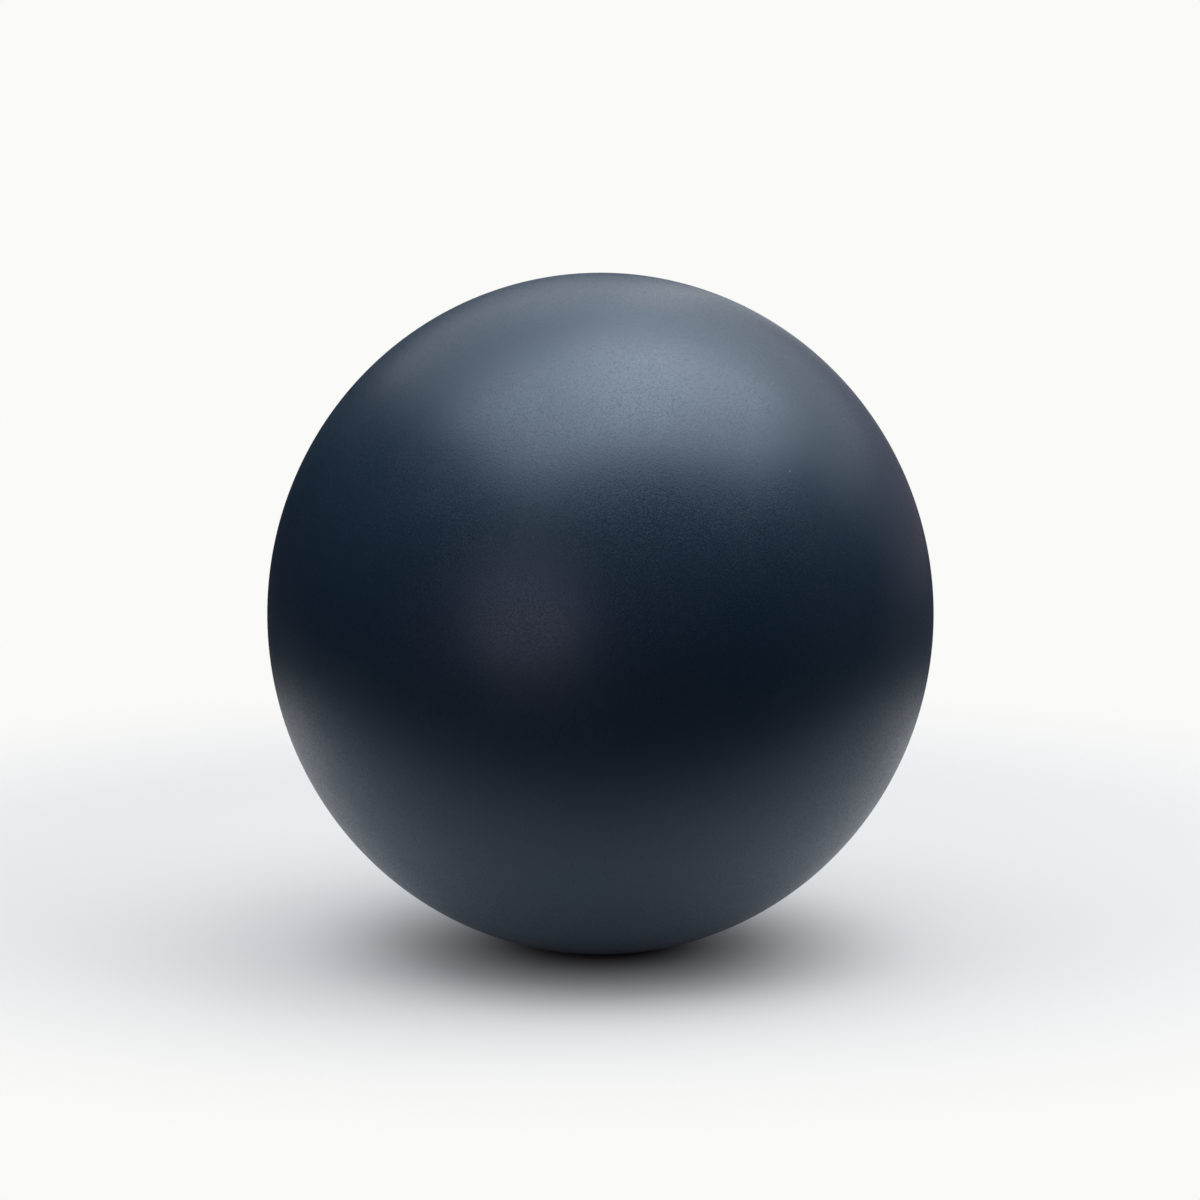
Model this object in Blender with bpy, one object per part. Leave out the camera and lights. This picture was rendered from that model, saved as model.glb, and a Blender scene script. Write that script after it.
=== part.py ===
"""Small inflatable pilates ball: a hollow vinyl skin, the valve seat in its wall and a push-in plug.

Lengths are in metres and +Z is up. The ball stands on the floor at z = 0 and its valve faces +Y.
"""

import math

import bmesh
import bpy

# The ball, blown up and standing
BALL_WIDTH = 0.230
OVAL_HEIGHT = 0.2355  # of the full oval, before its underside settles on the floor
BASE_RADIUS = 0.015  # patch of soft skin that lies flat on the floor
WALL = 0.001
BALL_STEPS = 64  # facets round the ball
ARC_STEPS = 15  # facets from the base up to the widest place, and from there to the top

# Room between neighbouring pieces
CLEARANCE = 0.0003

# The plug: a domed head on a ribbed, tapering, hollow shank
HEAD_RADIUS = 0.0065
HEAD_EDGE = 0.0010  # thickness of the head at its rim
HEAD_ROUND = 0.0004  # rounding of that rim
HEAD_DOME = 0.0006  # rise of the head from its rim to its middle
DIMPLE_RADIUS = 0.0011  # moulding mark in the middle of the head
DIMPLE_DEPTH = 0.0003
DOME_STEPS = 4  # facets from the head's rim to the dimple
SHANK_LENGTH = 0.0165
SHANK_TOP_RADIUS = 0.0030
SHANK_TIP_RADIUS = 0.0025
TIP_CHAMFER = 0.0005
CORE_RADIUS = 0.0014  # hollow that lets the shank squeeze
SOLID_STEM = 0.0050  # solid length between the head and the hollow
RIB_COUNT = 3
RIB_HEIGHT = 0.0004
RIB_WIDTH = 0.0014
RIB_START = 0.0035  # from the head down to the first rib
RIB_PITCH = 0.0032

# The valve seat: a flange let into the skin, on a tube that reaches into the ball
HEAD_RECESS = 0.0012  # depth of the round recess for the plug's head
FLANGE_WEB = 0.0010  # flange left under the recess
FLANGE_RIM = 0.0035  # flange left outside the recess
FLANGE_ROUND = 0.0005
TUBE_WALL = 0.0020
TUBE_LENGTH = 0.0130  # below the flange
TUBE_CHAMFER = 0.0006
BEAD_HEIGHT = 0.0016  # barb that holds the seat behind the skin
BEAD_LENGTH = 0.0030

# The skin round the valve: a flat land, a pocket for the flange and a thick boss behind it
VALVE_SINK = 0.0010  # depth of the land below the ball's crown
BOSS_FLOOR = 0.0016  # skin left under the flange
BOSS_RIM = 0.0030  # boss outside the pocket
BOSS_FLARE = 0.0050  # width over which the boss runs out into the wall
VALVE_STEPS = 36  # facets round the valve
ROUND_STEPS = 4  # facets in each small rounding

# Colours and surfaces
NAVY_VINYL = (0.010, 0.026, 0.050, 1.0)
DARK_VINYL = (0.008, 0.012, 0.020, 1.0)
MILKY_PLASTIC = (0.80, 0.80, 0.77, 1.0)
SKIN_ROUGHNESS = 0.40
SEAT_ROUGHNESS = 0.40
PLUG_ROUGHNESS = 0.35

WELD = 1e-6  # points closer than this are one point
SHARP_ANGLE = math.radians(32)

# Sizes that follow from those above
CENTRE_HEIGHT = OVAL_HEIGHT / 2 * math.sqrt(1 - (2 * BASE_RADIUS / BALL_WIDTH) ** 2)
SHANK_TAPER = (SHANK_TOP_RADIUS - SHANK_TIP_RADIUS) / SHANK_LENGTH
RECESS_RADIUS = HEAD_RADIUS + CLEARANCE
FLANGE_RADIUS = RECESS_RADIUS + FLANGE_RIM
FLANGE_THICKNESS = HEAD_RECESS + FLANGE_WEB
TUBE_RADIUS = SHANK_TOP_RADIUS + RIB_HEIGHT + CLEARANCE + TUBE_WALL
POCKET_RADIUS = FLANGE_RADIUS + CLEARANCE
POCKET_DEPTH = FLANGE_THICKNESS + CLEARANCE
HOLE_RADIUS = TUBE_RADIUS + CLEARANCE
BOSS_RADIUS = POCKET_RADIUS + BOSS_RIM
BOSS_DEPTH = POCKET_DEPTH + BOSS_FLOOR


def arc(centre, half_width, half_height, start, end, steps):
    """Points of (radius, height) along a stretch of an oval, with its angles in degrees."""
    points = []
    for step in range(steps + 1):
        angle = math.radians(start + (end - start) * step / steps)
        across = centre[0] + half_width * math.cos(angle)
        points.append((max(across, 0.0), centre[1] + half_height * math.sin(angle)))
    return points


def turned(name, outline, steps):
    """Turns an outline about Z. An outline that ends away from the axis is closed into a ring."""
    form = bmesh.new()
    points = [form.verts.new((radius, 0.0, height)) for radius, height in outline]
    edges = [form.edges.new(pair) for pair in zip(points, points[1:])]
    if outline[0][0] > WELD:
        edges.append(form.edges.new((points[-1], points[0])))
    bmesh.ops.spin(
        form,
        geom=points + edges,
        cent=(0, 0, 0),
        axis=(0, 0, 1),
        angle=math.tau,
        steps=steps,
        use_merge=True,
    )
    bmesh.ops.remove_doubles(form, verts=form.verts, dist=WELD)
    bmesh.ops.recalc_face_normals(form, faces=form.faces)
    mesh = bpy.data.meshes.new(name)
    form.to_mesh(mesh)
    form.free()
    mesh.shade_smooth()
    mesh.set_sharp_from_angle(angle=SHARP_ANGLE)
    piece = bpy.data.objects.new(name, mesh)
    bpy.context.collection.objects.link(piece)
    return piece


def surface(piece, colour, roughness):
    """Gives a piece its own material."""
    material = bpy.data.materials.new(piece.name)
    material.use_nodes = True
    shader = material.node_tree.nodes["Principled BSDF"]
    shader.inputs["Base Color"].default_value = colour
    shader.inputs["Roughness"].default_value = roughness
    shader.inputs["Metallic"].default_value = 0.0
    piece.data.materials.append(material)


def cut(piece, tool):
    """Takes the tool's shape out of a piece."""
    step = piece.modifiers.new(tool.name, "BOOLEAN")
    step.operation = "DIFFERENCE"
    step.solver = "EXACT"
    step.object = tool
    tool.hide_render = True
    tool.display_type = "WIRE"


def oval_outline(inset):
    """Half outline of the ball, drawn in by the inset all over, from its flat base to its top."""
    half_width = BALL_WIDTH / 2 - inset
    half_height = OVAL_HEIGHT / 2 - inset
    middle = (0.0, CENTRE_HEIGHT)
    base_angle = math.degrees(math.asin((inset - CENTRE_HEIGHT) / half_height))
    lower = arc(middle, half_width, half_height, base_angle, 0.0, ARC_STEPS)
    upper = arc(middle, half_width, half_height, 0.0, 90.0, ARC_STEPS)
    return [(0.0, inset)] + lower + upper[1:-1] + [(0.0, CENTRE_HEIGHT + half_height)]


def boss_outline():
    """Thick round boss behind the land, measured from the land, with a hollow flare into the wall."""
    outer = BOSS_RADIUS + BOSS_FLARE
    flare = arc((outer, -BOSS_DEPTH), BOSS_FLARE, BOSS_DEPTH - WALL, 180.0, 90.0, ROUND_STEPS)
    return [(0.0, -BOSS_DEPTH)] + flare + [(outer, VALVE_SINK), (0.0, VALVE_SINK)]


def valve_cut_outline():
    """What is cut from the skin for the valve: the land, the flange's pocket and the tube's hole."""
    clear_of_crown = BALL_WIDTH / 4
    clear_of_boss = 2 * BOSS_DEPTH
    return [
        (0.0, -clear_of_boss),
        (HOLE_RADIUS, -clear_of_boss),
        (HOLE_RADIUS, -POCKET_DEPTH),
        (POCKET_RADIUS, -POCKET_DEPTH),
        (POCKET_RADIUS, 0.0),
        (clear_of_crown, 0.0),
        (clear_of_crown, 2 * VALVE_SINK),
        (0.0, 2 * VALVE_SINK),
    ]


def shank_radius(depth):
    """Radius of the plug's plain shank at a depth below its head."""
    return SHANK_TOP_RADIUS - SHANK_TAPER * depth


def seat_outline():
    """Section of the valve seat, measured from its outer face. The bore runs parallel to the shank."""
    tube_end = FLANGE_THICKNESS + TUBE_LENGTH
    head_underside = HEAD_RECESS - CLEARANCE
    bore_room = RIB_HEIGHT + CLEARANCE
    bore_top = shank_radius(HEAD_RECESS - head_underside) + bore_room
    bore_end = shank_radius(tube_end - head_underside) + bore_room
    bead_top = BOSS_DEPTH + CLEARANCE
    rim = arc(
        (FLANGE_RADIUS - FLANGE_ROUND, -FLANGE_ROUND), FLANGE_ROUND, FLANGE_ROUND, 90.0, 0.0, ROUND_STEPS
    )
    return [
        (bore_end, -tube_end),
        (bore_top, -HEAD_RECESS),
        (RECESS_RADIUS, -HEAD_RECESS),
        (RECESS_RADIUS, 0.0),
        *rim,
        (FLANGE_RADIUS, -FLANGE_THICKNESS),
        (TUBE_RADIUS, -FLANGE_THICKNESS),
        (TUBE_RADIUS, -bead_top),
        (TUBE_RADIUS + BEAD_HEIGHT, -bead_top),
        (TUBE_RADIUS, -bead_top - BEAD_LENGTH),
        (TUBE_RADIUS, TUBE_CHAMFER - tube_end),
        (TUBE_RADIUS - TUBE_CHAMFER, -tube_end),
    ]


def plug_outline():
    """Half section of the plug, measured from the underside of its head."""
    hollow = [
        (0.0, -SOLID_STEM),
        (CORE_RADIUS, -SOLID_STEM),
        (CORE_RADIUS, -SHANK_LENGTH),
        (SHANK_TIP_RADIUS - TIP_CHAMFER, -SHANK_LENGTH),
        (shank_radius(SHANK_LENGTH - TIP_CHAMFER), TIP_CHAMFER - SHANK_LENGTH),
    ]
    ribs = []
    for rib in reversed(range(RIB_COUNT)):
        depth = RIB_START + RIB_PITCH * rib
        ribs += arc((shank_radius(depth), -depth), RIB_HEIGHT, RIB_WIDTH / 2, -90.0, 90.0, ROUND_STEPS)
    dome_radius = HEAD_RADIUS - HEAD_ROUND
    rim = arc((dome_radius, HEAD_EDGE - HEAD_ROUND), HEAD_ROUND, HEAD_ROUND, 0.0, 90.0, ROUND_STEPS)
    dome = []
    for step in range(1, DOME_STEPS + 1):
        radius = dome_radius + (DIMPLE_RADIUS - dome_radius) * step / DOME_STEPS
        dome.append((radius, HEAD_EDGE + HEAD_DOME * (1 - (radius / dome_radius) ** 2)))
    crown = dome[-1][1]
    dimple = arc((0.0, crown), DIMPLE_RADIUS, DIMPLE_DEPTH, 0.0, -90.0, ROUND_STEPS)
    head = [(SHANK_TOP_RADIUS, 0.0), (HEAD_RADIUS, 0.0)] + rim + dome + dimple[1:-1]
    return hollow + ribs + head + [(0.0, crown - DIMPLE_DEPTH)]


for old in list(bpy.data.objects):
    bpy.data.objects.remove(old)

# The valve's axis starts at the ball's crown at the back and points out of the ball
valve = bpy.data.objects.new("valve_axis", None)
bpy.context.collection.objects.link(valve)
valve.location = (0.0, BALL_WIDTH / 2, CENTRE_HEIGHT)
valve.rotation_euler = (math.radians(-90), 0.0, 0.0)
land = (0.0, 0.0, -VALVE_SINK)

# Skin: a hollow oval, thickened behind the valve and cut through there
ball_skin = turned("ball_skin", oval_outline(0.0), BALL_STEPS)
surface(ball_skin, NAVY_VINYL, SKIN_ROUGHNESS)

air_space = turned("air_space", oval_outline(WALL), BALL_STEPS)
boss = turned("boss", boss_outline(), VALVE_STEPS)
boss.parent = valve
boss.location = land
cut(air_space, boss)
cut(ball_skin, air_space)

valve_cut = turned("valve_cut", valve_cut_outline(), VALVE_STEPS)
valve_cut.parent = valve
valve_cut.location = land
cut(ball_skin, valve_cut)

# Valve seat: its outer face is level with the land
valve_seat = turned("valve_seat", seat_outline(), VALVE_STEPS)
surface(valve_seat, DARK_VINYL, SEAT_ROUGHNESS)
valve_seat.parent = valve
valve_seat.location = land

# Plug: its head sits in the seat's recess, and it pulls straight out along the valve's axis
valve_plug = turned("valve_plug", plug_outline(), VALVE_STEPS)
surface(valve_plug, MILKY_PLASTIC, PLUG_ROUGHNESS)
valve_plug.parent = valve
valve_plug.location = (0.0, 0.0, CLEARANCE - HEAD_RECESS - VALVE_SINK)
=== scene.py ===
import math

import bmesh
import bpy
from mathutils import Euler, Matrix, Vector


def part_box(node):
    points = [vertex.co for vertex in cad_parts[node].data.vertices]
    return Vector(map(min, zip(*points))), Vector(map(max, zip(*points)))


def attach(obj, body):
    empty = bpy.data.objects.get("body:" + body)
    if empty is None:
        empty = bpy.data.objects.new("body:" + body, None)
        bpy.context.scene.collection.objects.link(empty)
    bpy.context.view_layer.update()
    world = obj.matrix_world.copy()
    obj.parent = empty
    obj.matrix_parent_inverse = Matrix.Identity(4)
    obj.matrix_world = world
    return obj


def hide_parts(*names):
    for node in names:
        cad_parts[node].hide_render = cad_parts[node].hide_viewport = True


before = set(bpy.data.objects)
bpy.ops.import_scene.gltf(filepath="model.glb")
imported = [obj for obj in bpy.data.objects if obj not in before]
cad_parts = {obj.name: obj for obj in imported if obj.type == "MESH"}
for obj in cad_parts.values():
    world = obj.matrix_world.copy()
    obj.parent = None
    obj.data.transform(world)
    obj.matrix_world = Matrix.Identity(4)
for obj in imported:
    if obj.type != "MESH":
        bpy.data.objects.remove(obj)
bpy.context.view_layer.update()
bpy.context.scene.view_settings.view_transform = "Standard"


# Skin: one hollow bag of soft navy vinyl, a millimetre thick, cast in a turning mould whose fine grain it
# keeps. It thickens into a boss with a smooth flat land round the valve at the back, and its underside
# spreads flat on the floor under the ball's own weight.
skin_low, skin_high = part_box("ball_skin")
seat_low, seat_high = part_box("valve_seat")

clearance = 0.0003  # room between neighbouring pieces
skin_wall = 0.001
base_radius = 0.015  # patch that lies on the floor
base_ease = 0.0004  # height over which the skin bends up off the floor
ball_radius = (skin_high.x - skin_low.x) / 2
half_height = skin_high.z / (1 + math.sqrt(1 - (base_radius / ball_radius) ** 2))
ball_middle = Vector((0.0, 0.0, skin_high.z - half_height))
stretch = half_height / ball_radius  # the blown-up ball is a little taller than wide

# Sizes at the valve are radii about its axis, and distances along it from the ball's middle
land = seat_high.y
land_radius = math.sqrt(ball_radius**2 - land**2)
land_round = 0.0015
flange_radius = (seat_high.x - seat_low.x) / 2
flange_thickness = 0.0022
flange_bottom = land - flange_thickness
tube_radius = 0.0057
pocket_radius = flange_radius + clearance
pocket_floor = flange_bottom - clearance
pocket_round = 0.0004
hole_radius = tube_radius + clearance
boss_floor = 0.0016  # thickness of the boss under the pocket
boss_side = 0.0030  # and round it
boss_flare = 0.0050
boss_face = pocket_floor - boss_floor
boss_radius = pocket_radius + boss_side
boss_foot = boss_radius + boss_flare  # where the boss has run out into the wall
inner_radius = ball_radius - skin_wall
foot_angle = math.asin(boss_foot / inner_radius)
round_valve = 0.020  # up to here the skin stays round about the valve
full_stretch = 0.050  # and from here on it has its full stretch

skin_turns = 240
outer_steps = 150
inner_steps = 48


def draw_to(form, last, points):
    """Draws an outline on from its last point, through points of (radius, distance along the valve)."""
    for radius, along in points:
        last = bmesh.ops.extrude_vert_indiv(form, verts=[last])["verts"][0]
        last.co = (radius, along, 0.0)
    return last


def draw_arc(form, last, centre, angle, steps):
    """Draws an outline on from its last point, round a centre of (radius, distance along the valve)."""
    drawn = bmesh.ops.spin(
        form,
        geom=[last],
        cent=(centre[0], centre[1], 0.0),
        axis=(0.0, 0.0, 1.0),
        angle=angle,
        steps=steps,
    )
    return next(part for part in drawn["geom_last"] if isinstance(part, bmesh.types.BMVert))


def turn_outline(form, steps):
    """Turns the drawn outline about the valve's axis, and closes its poles."""
    bmesh.ops.spin(
        form,
        geom=form.verts[:] + form.edges[:],
        cent=(0.0, 0.0, 0.0),
        axis=(0.0, 1.0, 0.0),
        angle=math.tau,
        steps=steps,
        use_merge=True,
    )
    bmesh.ops.remove_doubles(form, verts=form.verts, dist=1e-6)
    bmesh.ops.recalc_face_normals(form, faces=form.faces)


def round_edge(form, radius, along, width, segments):
    """Rounds the turned edge at a radius and a distance along the valve."""
    tolerance = 2e-5

    def on_edge(point):
        return math.hypot(math.hypot(point.co.x, point.co.z) - radius, point.co.y - along) < tolerance

    ring = [edge for edge in form.edges if on_edge(edge.verts[0]) and on_edge(edge.verts[1])]
    bmesh.ops.bevel(
        form,
        geom=ring,
        offset=width,
        offset_type="OFFSET",
        affect="EDGES",
        segments=segments,
        profile=0.5,
        material=-1,
        clamp_overlap=True,
    )


def make_piece(form, name, material):
    """Sets a turned form in its place in the ball, and makes a smooth piece of it."""
    bmesh.ops.translate(form, verts=form.verts, vec=ball_middle)
    mesh = bpy.data.meshes.new(name)
    form.to_mesh(mesh)
    form.free()
    mesh.shade_smooth()
    mesh.set_sharp_from_angle(angle=math.radians(50))
    mesh.materials.append(material)
    piece = bpy.data.objects.new(name, mesh)
    bpy.context.scene.collection.objects.link(piece)
    return piece


def ease(value, start, end):
    """Rises smoothly from 0 at the start to 1 at the end."""
    share = min(max((value - start) / (end - start), 0.0), 1.0)
    return share * share * (3 - 2 * share)


def settle(height, floor):
    """Keeps a height above the floor, with a soft bend where the skin leaves it."""
    bend = max(base_ease - abs(height - floor), 0.0) / base_ease
    return max(height, floor) + bend * bend * base_ease / 4


skin_form = bmesh.new()
pen = skin_form.verts.new((0.0, -ball_radius, 0.0))
pen = draw_arc(skin_form, pen, (0.0, 0.0), math.pi - math.asin(land_radius / ball_radius), outer_steps)
pen = draw_to(
    skin_form,
    pen,
    [
        (pocket_radius, land),
        (pocket_radius, pocket_floor),
        (hole_radius, pocket_floor),
        (hole_radius, boss_face),
        (boss_radius, boss_face),
        (boss_foot, inner_radius * math.cos(foot_angle)),
    ],
)
draw_arc(skin_form, pen, (0.0, 0.0), foot_angle - math.pi, inner_steps)
turn_outline(skin_form, skin_turns)
round_edge(skin_form, land_radius, land, land_round, segments=4)
round_edge(skin_form, pocket_radius, land, pocket_round, segments=3)
for point in skin_form.verts:
    inside = point.co.length < ball_radius - skin_wall / 2
    off_axis = math.hypot(point.co.x, point.co.z)
    point.co.z *= 1 + (stretch - 1) * ease(off_axis, round_valve, full_stretch)
    point.co.z = settle(point.co.z, (skin_wall if inside else 0.0) - ball_middle.z)


def start_material(name, **values):
    """Starts a material, with the values that are the same all over set on its shader."""
    material = bpy.data.materials.new(name)
    material.use_nodes = True
    shader = material.node_tree.nodes["Principled BSDF"]
    for socket, value in values.items():
        shader.inputs[socket.replace("_", " ")].default_value = value
    return material, shader


def add_node(material, kind, options=None, **values):
    """Adds a shader node with its options, and with its values named by their sockets."""
    node = material.node_tree.nodes.new("ShaderNode" + kind)
    for name, option in (options or {}).items():
        setattr(node, name, option)
    for socket, value in values.items():
        node.inputs[socket.replace("_", " ")].default_value = value
    return node


def link(material, source, output, target, entry):
    """Links a named output of one node to a named or numbered input of another."""
    material.node_tree.links.new(source.outputs[output], target.inputs[entry])


def add_noise(material, place, **values):
    """Adds a noise that sits still on the piece."""
    noise = add_node(material, "TexNoise", **values)
    link(material, place, "Object", noise, "Vector")
    return noise


def add_range(material, source, output, span, result):
    """Adds a smooth step that takes one span of values to another."""
    step = add_node(
        material,
        "MapRange",
        {"interpolation_type": "SMOOTHSTEP"},
        From_Min=span[0],
        From_Max=span[1],
        To_Min=result[0],
        To_Max=result[1],
    )
    link(material, source, output, step, "Value")
    return step


blend_first, blend_second, blend_output = 6, 7, 2  # a blend's sockets for colours


def add_blend(material, factor, output, first, second):
    """Adds a blend of two colours. The first gives way where another blend is linked to its socket."""
    blend = add_node(material, "Mix", {"data_type": "RGBA"})
    link(material, factor, output, blend, "Factor")
    blend.inputs[blend_first].default_value = first
    blend.inputs[blend_second].default_value = second
    return blend


def add_sum(material, first, first_output, second, second_output, share):
    """Adds a share of a second value to a first."""
    total = add_node(material, "Math", {"operation": "MULTIPLY_ADD"})
    link(material, second, second_output, total, 0)
    total.inputs[1].default_value = share
    link(material, first, first_output, total, 2)
    return total


vinyl, vinyl_shader = start_material(
    "navy_grained_vinyl", IOR=1.65, Specular_Tint=(0.68, 0.828, 1.0, 1.0)
)
skin_place = add_node(vinyl, "TexCoord")

# The grain is a pebble about two thirds of a millimetre across, with finer pits in it
pebble_share = -0.6
pebble = add_node(vinyl, "TexVoronoi", {"feature": "SMOOTH_F1"}, Scale=1500.0, Smoothness=0.6)
link(vinyl, skin_place, "Object", pebble, "Vector")
pits = add_noise(vinyl, skin_place, Scale=2500.0, Detail=2.0, Roughness=0.5)
grain = add_sum(vinyl, pits, "Fac", pebble, "Distance", pebble_share)

# The pigment drifts a little between a bluer and a redder navy. The grain's hollows are painted a darker
# navy, which is painted shade where shade falls in them
bluer_navy = (0.0089, 0.0279, 0.0540, 1.0)
redder_navy = (0.0120, 0.0271, 0.0524, 1.0)
hollow_shade_navy = (0.0092, 0.0242, 0.0468, 1.0)
drift = add_noise(vinyl, skin_place, Scale=16.0, Detail=3.0, Roughness=0.55)
drift_step = add_range(vinyl, drift, "Fac", (0.35, 0.65), (0.0, 1.0))
navy = add_blend(vinyl, drift_step, "Result", bluer_navy, redder_navy)
# Painted shade: the grain's hollows get the darker navy
hollow_shade_step = add_range(vinyl, grain, "Value", (-0.05, 0.35), (1.0, 0.0))
shaded = add_blend(vinyl, hollow_shade_step, "Result", bluer_navy, hollow_shade_navy)
link(vinyl, navy, blend_output, shaded, blend_first)

# A few specks of pale dust sit on the skin
dust_grey = (0.22, 0.23, 0.24, 1.0)
dust = add_node(vinyl, "TexVoronoi", Scale=48.0)
link(vinyl, skin_place, "Object", dust, "Vector")
dust_step = add_range(vinyl, dust, "Distance", (0.006, 0.016), (1.0, 0.0))
dusted = add_blend(vinyl, dust_step, "Result", bluer_navy, dust_grey)
link(vinyl, shaded, blend_output, dusted, blend_first)
link(vinyl, dusted, blend_output, vinyl_shader, "Base Color")

# The satin gloss is uneven, as the mould's blasted face was, and the grain's crests are rubbed smoother
crest_polish = -0.39
satin = add_noise(vinyl, skin_place, Scale=34.0, Detail=4.0, Roughness=0.6)
satin_step = add_range(vinyl, satin, "Fac", (0.3, 0.7), (0.458, 0.498))
gloss = add_sum(vinyl, satin_step, "Result", grain, "Value", crest_polish)
link(vinyl, gloss, "Value", vinyl_shader, "Roughness")

# The grain stands up from the skin, and fades out on the smooth land
grain_height = 0.00003
grain_edge = 0.003  # width over which it fades
land_grain = 0.1  # share of it that is left on the land
from_valve = add_node(vinyl, "VectorMath", {"operation": "DISTANCE"})
link(vinyl, skin_place, "Object", from_valve, 0)
from_valve.inputs[1].default_value = ball_middle + Vector((0.0, land, 0.0))
grain_step = add_range(
    vinyl, from_valve, "Value", (land_radius, land_radius + grain_edge), (land_grain, 1.0)
)
grain_bump = add_node(vinyl, "Bump", Distance=grain_height)
link(vinyl, grain_step, "Result", grain_bump, "Strength")
link(vinyl, grain, "Value", grain_bump, "Height")
link(vinyl, grain_bump, "Normal", vinyl_shader, "Normal")

skin = make_piece(skin_form, "grained_skin", vinyl)
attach(skin, "ball")
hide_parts("ball_skin")


# Valve seat: a soft moulded grommet of the same vinyl, a little darker and smoother than the skin. Its
# flange lies in the skin's pocket, and its barbed tube is pushed through the boss, which grips it.
plug_low, plug_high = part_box("valve_plug")

head_radius = (plug_high.x - plug_low.x) / 2
recess_depth = 0.0012  # the plug's head sits in this recess
recess_floor = land - recess_depth
recess_radius = head_radius + clearance
head_underside = recess_floor + clearance
shank_top_radius = 0.0030
shank_tip_radius = 0.0025
shank_taper = (shank_top_radius - shank_tip_radius) / (head_underside - plug_low.y)
rib_height = 0.0004
bore_room = rib_height + clearance
tube_end = seat_low.y
tube_chamfer = 0.0006
barb_rise = 0.0016
barb_length = 0.0030
barb_face = boss_face - clearance
barb_radius = tube_radius + barb_rise
barb_end = barb_face - barb_length
flange_round = 0.0005
recess_lip_round = 0.0003
recess_floor_round = 0.0002
bore_lip_round = 0.0003
barb_round = 0.0003
seat_turns = 128


def shank_radius(along):
    """Radius of the plug's plain shank at a distance along the valve."""
    return shank_top_radius - shank_taper * (head_underside - along)


bore_top_radius = shank_radius(recess_floor) + bore_room
seat_form = bmesh.new()
seat_start = seat_form.verts.new((shank_radius(tube_end) + bore_room, tube_end, 0.0))
pen = draw_to(
    seat_form,
    seat_start,
    [
        (bore_top_radius, recess_floor),
        (recess_radius, recess_floor),
        (recess_radius, land),
        (flange_radius, land),
        (flange_radius, flange_bottom),
        (tube_radius, flange_bottom),
        (tube_radius, barb_face),
        (barb_radius, barb_face),
        (tube_radius, barb_end),
        (tube_radius, tube_end + tube_chamfer),
        (tube_radius - tube_chamfer, tube_end),
    ],
)
seat_form.edges.new((pen, seat_start))
turn_outline(seat_form, seat_turns)
round_edge(seat_form, recess_radius, land, recess_lip_round, segments=3)
round_edge(seat_form, flange_radius, land, flange_round, segments=4)
round_edge(seat_form, recess_radius, recess_floor, recess_floor_round, segments=2)
round_edge(seat_form, bore_top_radius, recess_floor, bore_lip_round, segments=3)
round_edge(seat_form, barb_radius, barb_face, barb_round, segments=2)

darker_seat = (0.0070, 0.0115, 0.0195, 1.0)
lighter_seat = (0.0095, 0.0130, 0.0210, 1.0)
seat_vinyl, seat_shader = start_material("dark_seat_vinyl", IOR=1.55)
seat_place = add_node(seat_vinyl, "TexCoord")
seat_drift = add_noise(seat_vinyl, seat_place, Scale=180.0, Detail=3.0)
seat_step = add_range(seat_vinyl, seat_drift, "Fac", (0.3, 0.7), (0.0, 1.0))
seat_colour = add_blend(seat_vinyl, seat_step, "Result", darker_seat, lighter_seat)
link(seat_vinyl, seat_colour, blend_output, seat_shader, "Base Color")
seat_satin = add_range(seat_vinyl, seat_drift, "Fac", (0.3, 0.7), (0.34, 0.44))
link(seat_vinyl, seat_satin, "Result", seat_shader, "Roughness")
seat_pits = add_noise(seat_vinyl, seat_place, Scale=2600.0, Detail=2.0)
seat_bump = add_node(seat_vinyl, "Bump", Strength=0.6, Distance=0.00001)
link(seat_vinyl, seat_pits, "Fac", seat_bump, "Height")
link(seat_vinyl, seat_bump, "Normal", seat_shader, "Normal")

seat = make_piece(seat_form, "grommet_seat", seat_vinyl)
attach(seat, "ball")
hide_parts("valve_seat")


# Plug: a milky polyethylene stopper moulded in one shot. Its domed head has the gate's dimple, its hollow
# shank squeezes as it goes in, and three ribs seal and grip the seat's bore.
head_rim = 0.0010  # height of the head's upright edge with its rounding
head_edge = head_underside + head_rim
head_round = 0.0004
underside_round = 0.0002
head_dome = 0.0006
dimple_radius = 0.0011
dimple_depth = 0.0003
shank_end = plug_low.y
tip_chamfer = 0.0005
core_radius = 0.0014
core_roof = 0.0050  # solid length between the head and the hollow
core_top = head_underside - core_roof
rib_count = 3
rib_half_width = 0.0007
rib_pitch = 0.0032
bare_shank = 0.0035  # from the head to the middle of the first rib
first_rib = head_underside - bare_shank
plug_turns = 96

# Each rib and the dome are parts of circles, found from their width and rise
rib_circle = (rib_half_width**2 + rib_height**2) / (2 * rib_height)
rib_swing = 2 * math.asin(rib_half_width / rib_circle)
dome_width = head_radius - head_round
dome_circle = (dome_width**2 + head_dome**2) / (2 * head_dome)
dome_centre = head_edge + head_dome - dome_circle
dome_swing = math.asin(dome_width / dome_circle) - math.asin(dimple_radius / dome_circle)
dimple_circle = (dimple_radius**2 + dimple_depth**2) / (2 * dimple_depth)

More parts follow.
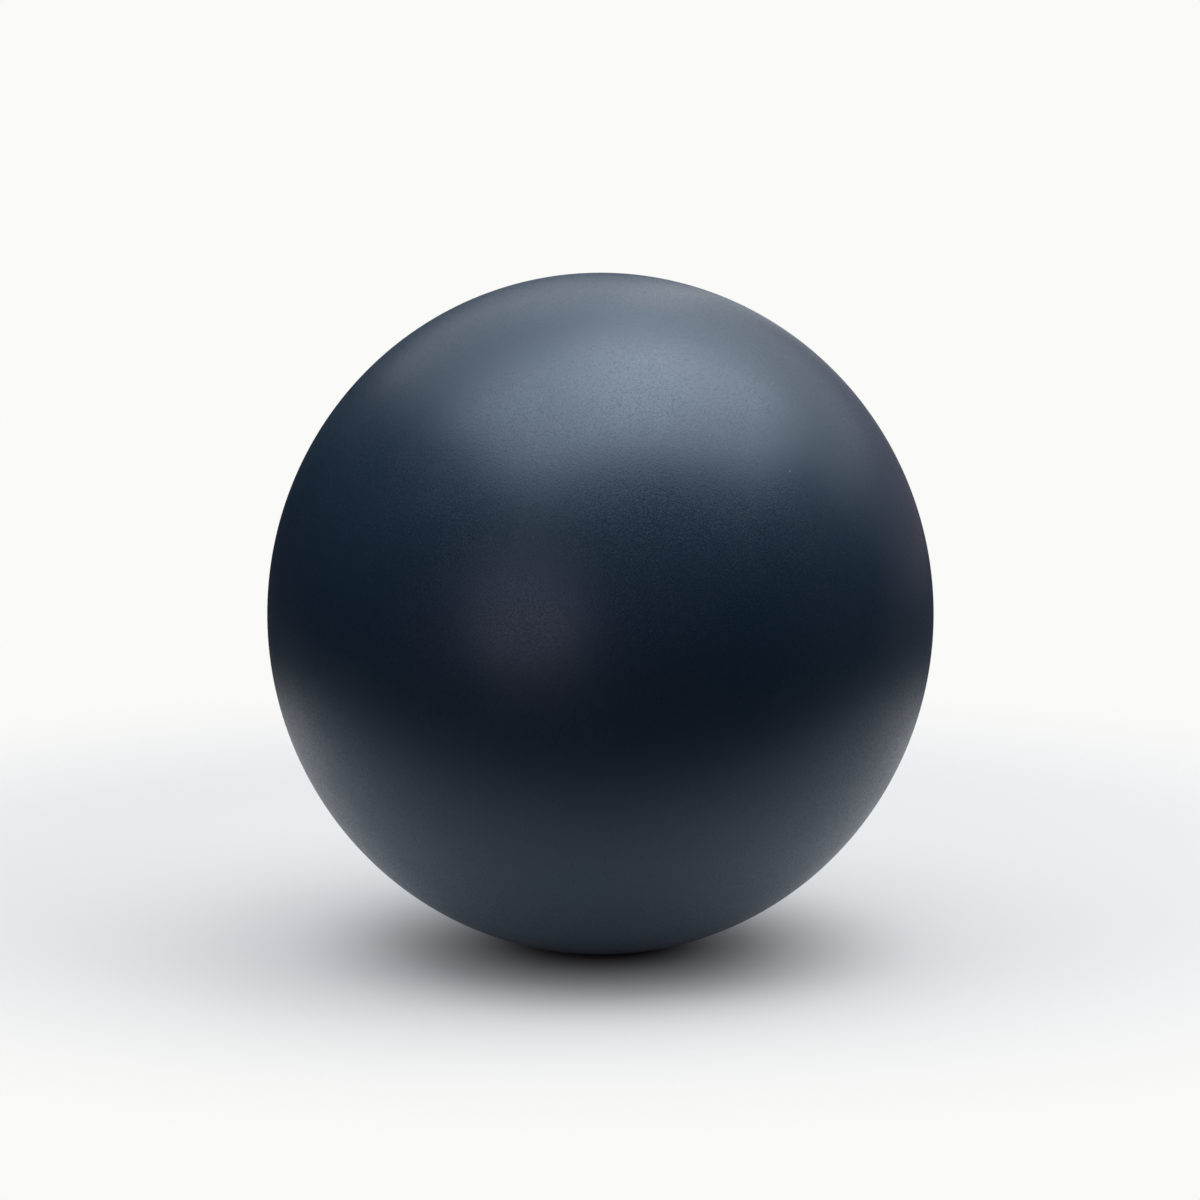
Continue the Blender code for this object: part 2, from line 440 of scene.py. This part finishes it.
plug_form = bmesh.new()
pen = plug_form.verts.new((0.0, core_top, 0.0))
pen = draw_to(
    plug_form,
    pen,
    [
        (core_radius, core_top),
        (core_radius, shank_end),
        (shank_tip_radius - tip_chamfer, shank_end),
        (shank_radius(shank_end + tip_chamfer), shank_end + tip_chamfer),
    ],
)
for rib in reversed(range(rib_count)):
    rib_middle = first_rib - rib_pitch * rib
    rib_foot = shank_radius(rib_middle)
    pen = draw_to(plug_form, pen, [(rib_foot, rib_middle - rib_half_width)])
    pen = draw_arc(plug_form, pen, (rib_foot + rib_height - rib_circle, rib_middle), rib_swing, steps=8)
pen = draw_to(
    plug_form,
    pen,
    [
        (shank_top_radius, head_underside),
        (head_radius, head_underside),
        (head_radius, head_edge - head_round),
    ],
)
pen = draw_arc(plug_form, pen, (head_radius - head_round, head_edge - head_round), math.pi / 2, steps=6)
pen = draw_arc(plug_form, pen, (0.0, dome_centre), dome_swing, steps=16)
dimple_top = pen.co.y + dimple_circle - dimple_depth
draw_arc(plug_form, pen, (0.0, dimple_top), -math.asin(dimple_radius / dimple_circle), steps=6)
turn_outline(plug_form, plug_turns)
round_edge(plug_form, head_radius, head_underside, underside_round, segments=2)

clear_milk = (0.82, 0.82, 0.79, 1.0)
dull_milk = (0.77, 0.77, 0.735, 1.0)
milky, milky_shader = start_material("milky_polyethylene", IOR=1.51)
plug_place = add_node(milky, "TexCoord")
cloud = add_noise(milky, plug_place, Scale=260.0, Detail=4.0, Roughness=0.6)
cloud_step = add_range(milky, cloud, "Fac", (0.3, 0.7), (0.0, 1.0))
cloud_colour = add_blend(milky, cloud_step, "Result", clear_milk, dull_milk)
link(milky, cloud_colour, blend_output, milky_shader, "Base Color")
rubbed = add_noise(milky, plug_place, Scale=900.0, Detail=3.0, Roughness=0.65)
rubbed_step = add_range(milky, rubbed, "Fac", (0.35, 0.7), (0.30, 0.46))
link(milky, rubbed_step, "Result", milky_shader, "Roughness")
rubbed_bump = add_node(milky, "Bump", Strength=0.5, Distance=0.00001)
link(milky, rubbed, "Fac", rubbed_bump, "Height")
link(milky, rubbed_bump, "Normal", milky_shader, "Normal")

plug = make_piece(plug_form, "ribbed_plug", milky)
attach(plug, "plug")
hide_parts("valve_plug")


# Floor: a pale matt sheet under and behind the ball, whose edge fades into the white surroundings. It takes
# the ball's shadow, and the lower half of the ball mirrors it. It also glows faintly. This is painted light
# that stands for a white room's light from all round, and it fades out close under the ball as a painted
# shadow.
sheet_half_width = 0.44
sheet_half_depth = 0.37
sheet_back = 0.12
sheet_drop = 0.0002  # keeps the sheet just clear of the ball's flat base
fade_start = 0.45  # share of the sheet's reach at which its edge begins to fade
sheet_painted_glow = 0.465
painted_glow_start = 0.017  # from the place where the ball stands
painted_glow_full = 0.118

sheet_form = bmesh.new()
bmesh.ops.create_circle(sheet_form, cap_ends=True, segments=96, radius=1.0)
bmesh.ops.scale(sheet_form, verts=sheet_form.verts, vec=(sheet_half_width, sheet_half_depth, 1.0))
bmesh.ops.translate(sheet_form, verts=sheet_form.verts, vec=(0.0, sheet_back, -sheet_drop))
sheet_mesh = bpy.data.meshes.new("floor_sheet")
sheet_form.to_mesh(sheet_mesh)
sheet_form.free()

paper, paper_shader = start_material(
    "pale_paper_painted_glow",
    Base_Color=(0.28, 0.28, 0.28, 1.0),
    Roughness=0.9,
    Specular_IOR_Level=0.0,
    Emission_Color=(0.89, 0.947, 1.0, 1.0),
)
paper_place = add_node(paper, "TexCoord")
paper_oval = add_node(paper, "Mapping", {"vector_type": "TEXTURE"})
paper_oval.inputs["Location"].default_value = (0.0, sheet_back, 0.0)
paper_oval.inputs["Scale"].default_value = (sheet_half_width, sheet_half_depth, 1.0)
link(paper, paper_place, "Object", paper_oval, "Vector")
paper_reach = add_node(paper, "VectorMath", {"operation": "LENGTH"})
link(paper, paper_oval, "Vector", paper_reach, 0)
paper_fade = add_range(paper, paper_reach, "Value", (fade_start, 1.0), (1.0, 0.0))
link(paper, paper_fade, "Result", paper_shader, "Alpha")
# Painted light: the sheet's glow rises from nothing close under the ball, which is a painted shadow, to its
# full level further out
paper_near = add_node(paper, "VectorMath", {"operation": "LENGTH"})
link(paper, paper_place, "Object", paper_near, 0)
painted_glow_step = add_range(paper, paper_near, "Value", (painted_glow_start, painted_glow_full), (0.0, sheet_painted_glow))
link(paper, painted_glow_step, "Result", paper_shader, "Emission Strength")
sheet_mesh.materials.append(paper)
floor_sheet = bpy.data.objects.new("floor_sheet", sheet_mesh)
bpy.context.scene.collection.objects.link(floor_sheet)


# Studio: a white room seen through a slit in the back of a black tent, which keeps stray light off the ball.
# A wide softbox hangs over it, a weaker panel behind and to the right of that takes its edge off, and small
# lamps fill in above, behind, at the right rim and at the front left. The last two are a little rosy.
room = bpy.data.worlds.new("white_room")
room.use_nodes = True
room.node_tree.nodes["Background"].inputs["Color"].default_value = (0.956, 0.956, 0.935, 1.0)
bpy.context.scene.world = room

tent_radius = 5.0
tent_gap = math.radians(6)  # the slit at the back
tent_turn = math.radians(9)  # its middle lies this far to the right
tent_hem = -0.01  # just below the floor
tent_form = bmesh.new()
tent_pole = tent_form.verts.new((0.0, 0.0, tent_hem))
tent_edge = bmesh.ops.extrude_vert_indiv(tent_form, verts=[tent_pole])["verts"][0]
tent_edge.co = (0.0, tent_radius, tent_hem)
bmesh.ops.spin(
    tent_form,
    geom=[tent_edge],
    cent=(0.0, 0.0, tent_hem),
    axis=(1.0, 0.0, 0.0),
    angle=math.pi / 2,
    steps=12,
)
bmesh.ops.rotate(
    tent_form,
    verts=tent_form.verts,
    cent=(0.0, 0.0, 0.0),
    matrix=Euler((0.0, 0.0, tent_gap / 2 - tent_turn)).to_matrix(),
)
bmesh.ops.spin(
    tent_form,
    geom=tent_form.verts[:] + tent_form.edges[:],
    cent=(0.0, 0.0, 0.0),
    axis=(0.0, 0.0, 1.0),
    angle=math.tau - tent_gap,
    steps=48,
)
bmesh.ops.remove_doubles(tent_form, verts=tent_form.verts, dist=1e-5)
tent_mesh = bpy.data.meshes.new("black_tent")
tent_form.to_mesh(tent_mesh)
tent_form.free()
black_cloth, _ = start_material(
    "black_cloth", Base_Color=(0.02, 0.02, 0.02, 1.0), Roughness=1.0, Specular_IOR_Level=0.0
)
tent_mesh.materials.append(black_cloth)
tent = bpy.data.objects.new("black_tent", tent_mesh)
tent.visible_camera = False
bpy.context.scene.collection.objects.link(tent)

white_light = (1.0, 1.0, 1.0)
rosy_light = (1.0, 0.77, 0.88)
pale_rosy_light = (1.0, 0.80, 0.90)


def hang_lamp(name, width, depth, place, turn, brightness, colour=white_light, shape="RECTANGLE"):
    """Hangs a flat lamp of a size and an even brightness. Unturned, it shines straight down."""
    face = width * depth * (math.pi / 4 if shape == "ELLIPSE" else 1.0)
    light = bpy.data.lights.new(name, "AREA")
    light.shape = shape
    light.size = width
    light.size_y = depth
    light.energy = brightness * face * math.pi
    light.color = colour
    lamp = bpy.data.objects.new(name, light)
    lamp.location = place
    lamp.rotation_euler = turn
    lamp.visible_camera = False
    bpy.context.scene.collection.objects.link(lamp)


def aim_lamp(name, side, rise, reach, wide, high, **finish):
    """Stands a flat lamp that faces the ball's middle. All angles are in degrees, and side 0 is the back."""
    turn, lift = math.radians(side), math.radians(rise)
    away = Vector((math.sin(turn) * math.cos(lift), math.cos(turn) * math.cos(lift), math.sin(lift)))
    hang_lamp(
        name,
        width=2 * reach * math.tan(math.radians(wide / 2)),
        depth=2 * reach * math.tan(math.radians(high / 2)),
        place=ball_middle + reach * away,
        turn=away.to_track_quat("Z", "Y").to_euler(),
        **finish,
    )


panel_height = 1.2  # above the ball's middle
hang_lamp(
    "softbox",
    width=2.15,
    depth=1.06,
    place=ball_middle + Vector((0.264, -0.096, panel_height)),
    turn=Euler((0.0, 0.0, math.radians(15.6))),
    brightness=3.70,
)
hang_lamp(
    "rear_panel",
    width=4.44,
    depth=2.94,
    place=ball_middle + Vector((0.84, 1.68, panel_height)),
    turn=Euler((0.0, 0.0, math.radians(12))),
    brightness=0.855,
)
aim_lamp("top_lamp", side=90, rise=80, reach=1.4, wide=40, high=25, brightness=1.66)
aim_lamp("back_lamp", side=30, rise=52, reach=1.4, wide=70, high=25, brightness=0.48)
aim_lamp("rim_lamp", side=38, rise=8, reach=1.4, wide=50, high=25, brightness=0.20, colour=pale_rosy_light)
aim_lamp(
    "front_lamp",
    side=204,
    rise=8,
    reach=1.2,
    wide=36,
    high=36,
    brightness=1.05,
    colour=rosy_light,
    shape="ELLIPSE",
)


# Camera: a long lens straight in front of the ball, raised a little and turned down to the ball's middle.
# The frame is shifted so that the ball stands where the photograph has it.
frame_pixels = 1200
ball_half_width_pixels = 333.3
ball_middle_across = 600.43  # pixels from the left of the frame
ball_middle_down = 613.85  # pixels from the top of the frame
camera_distance = 1.5
camera_rise = math.radians(10)

lens = bpy.data.cameras.new("long_lens")
lens.sensor_width = 36.0
sight_line = math.sqrt(camera_distance**2 - ball_radius**2)
lens.lens = lens.sensor_width * ball_half_width_pixels / frame_pixels * sight_line / ball_radius
lens.shift_x = (frame_pixels / 2 - ball_middle_across) / frame_pixels
lens.shift_y = (ball_middle_down - frame_pixels / 2) / frame_pixels
camera_away = Vector((0.0, -math.cos(camera_rise), math.sin(camera_rise)))
camera = bpy.data.objects.new("camera", lens)
camera.location = ball_middle + camera_distance * camera_away
camera.rotation_euler = camera_away.to_track_quat("Z", "Y").to_euler()
bpy.context.scene.collection.objects.link(camera)
bpy.context.scene.camera = camera
